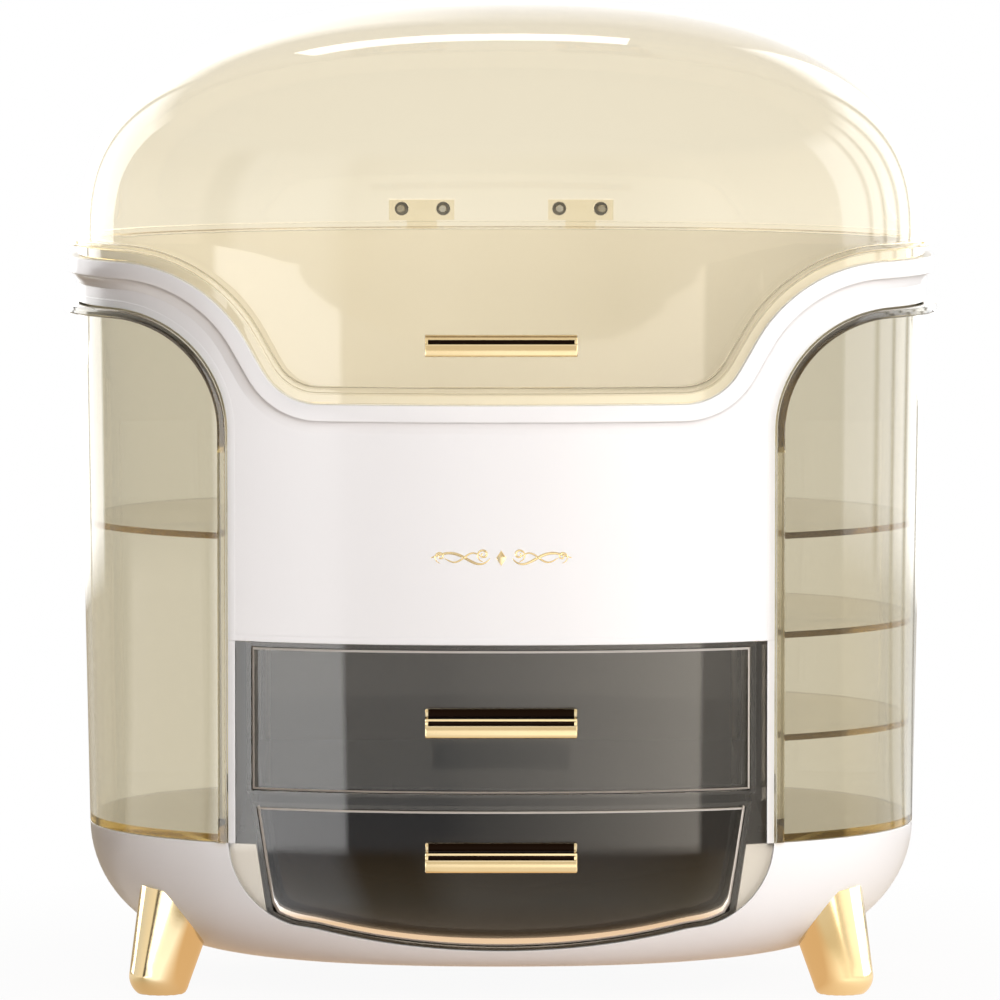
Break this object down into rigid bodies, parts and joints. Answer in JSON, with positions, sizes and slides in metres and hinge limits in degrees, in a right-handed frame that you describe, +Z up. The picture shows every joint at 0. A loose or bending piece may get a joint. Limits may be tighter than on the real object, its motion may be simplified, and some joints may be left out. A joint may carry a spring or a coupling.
{
  "type": "makeup organizer",
  "caption": "Oval dome-topped makeup organizer on splayed feet, with a hinged clear lid, swing-out shelved side cabinets and smoked drawers.",
  "frame": {"origin": "on the floor, under the middle of the case", "axes": "+Z up, the front with the drawers towards -Y, +X to the right seen from the front"},
  "size_m": [0.3614, 0.267, 0.4057],
  "materials": {
    "white_plastic": "gloss",
    "champagne_clear": "clear gloss",
    "smoked_clear": "clear gloss",
    "gold": "gold metallised",
    "steel": "bright"
  },
  "bodies": {
    "cabinet": {"base_shell": "white_plastic", "left_plinth_cover": "white_plastic", "right_plinth_cover": "white_plastic", "foot_front_left": "gold", "foot_front_right": "gold", "foot_rear_left": "gold", "foot_rear_right": "gold", "foot_screws": "steel", "drawer_housing": "smoked_clear", "upper_case": "white_plastic", "case_screws": "steel", "back_panel": "white_plastic", "back_panel_screws": "steel", "lid_hinge_base_left": "gold", "lid_hinge_base_right": "gold", "lid_hinge_pins": "steel", "hinge_base_screws": "steel"},
    "lid": {"dome_lid": "champagne_clear", "lid_handle": "gold", "lid_handle_screws": "steel", "lid_hinge_leaf_left": "champagne_clear", "lid_hinge_leaf_right": "champagne_clear", "hinge_leaf_screws": "steel"},
    "left_side_cabinet": {"left_door_shell": "champagne_clear", "left_door_shelf": "champagne_clear", "left_door_pins": "steel"},
    "right_side_cabinet": {"right_door_shell": "champagne_clear", "right_shelf_upper": "champagne_clear", "right_shelf_middle": "champagne_clear", "right_shelf_lower": "champagne_clear", "right_door_pins": "steel"},
    "upper_drawer": {"upper_drawer_tray": "smoked_clear", "upper_drawer_handle": "gold", "upper_handle_screws": "steel"},
    "lower_drawer": {"lower_drawer_tray": "smoked_clear", "lower_drawer_handle": "gold", "lower_handle_screws": "steel"}
  },
  "joints": [
    {"name": "lid_hinge", "type": "hinge", "parent": "cabinet", "child": "lid", "pos_m": [0, 0.131, 0.3], "axis": [-1, 0, 0], "range_deg": [0, 95]},
    {"name": "left_cabinet_hinge", "type": "hinge", "parent": "cabinet", "child": "left_side_cabinet", "pos_m": [-0.1165, 0.09547, 0.066], "axis": [0, 0, -1], "range_deg": [0, 90]},
    {"name": "right_cabinet_hinge", "type": "hinge", "parent": "cabinet", "child": "right_side_cabinet", "pos_m": [0.1165, 0.09547, 0.066], "axis": [0, 0, 1], "range_deg": [0, 90]},
    {"name": "upper_drawer_slide", "type": "slide", "parent": "cabinet", "child": "upper_drawer", "axis": [0, -1, 0], "range_m": [0, 0.14]},
    {"name": "lower_drawer_slide", "type": "slide", "parent": "cabinet", "child": "lower_drawer", "axis": [0, -1, 0], "range_m": [0, 0.14]}
  ]
}
